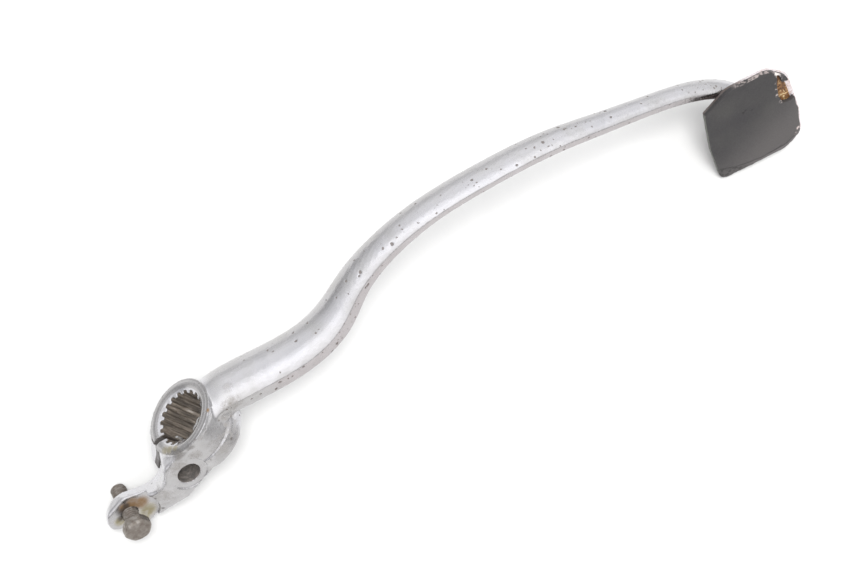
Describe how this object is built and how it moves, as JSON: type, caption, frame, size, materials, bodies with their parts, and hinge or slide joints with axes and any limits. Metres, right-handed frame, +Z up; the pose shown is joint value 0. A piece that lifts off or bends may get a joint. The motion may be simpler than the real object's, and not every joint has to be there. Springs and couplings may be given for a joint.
{
  "type": "motorcycle rear brake pedal",
  "caption": "Forged foot brake lever with a split splined hub, a clamp ear pair, a stop arm carrying an adjusting bolt, and a rubber-faced foot pad.",
  "frame": {"origin": "middle of the splined bore, on its axis", "axes": "as the loose pedal lies on a flat surface: +Z straight up from the surface, +X from the hub towards the pad, +Y completes a right-handed set. The bore axis leans 40.9 degrees from +Z."},
  "size_m": [0.3082, 0.0562, 0.0531],
  "materials": {
    "chrome_forging": "worn chrome over forged steel, pitted and lightly rusted",
    "plate_steel": "worn plated sheet steel",
    "glue": "aged yellow-brown adhesive",
    "rubber": "matte, worn smooth",
    "weld": "as welded, chromed over",
    "bolt_steel": "dull, dirty, lightly rusted"
  },
  "bodies": {
    "lever": {"lever_forging": "chrome_forging", "pad_plate": "plate_steel", "pad_glue": "glue", "pad_rubber": "rubber", "pad_bead_inner": "weld", "pad_bead_outer": "weld"},
    "stop_bolt": {"stop_bolt": "bolt_steel"}
  },
  "joints": [
    {"name": "stop_bolt_adjust", "type": "slide", "parent": "lever", "child": "stop_bolt", "axis": [0.0323, -0.8431, 0.5369], "range_m": [-0.0055, 0.008]}
  ]
}
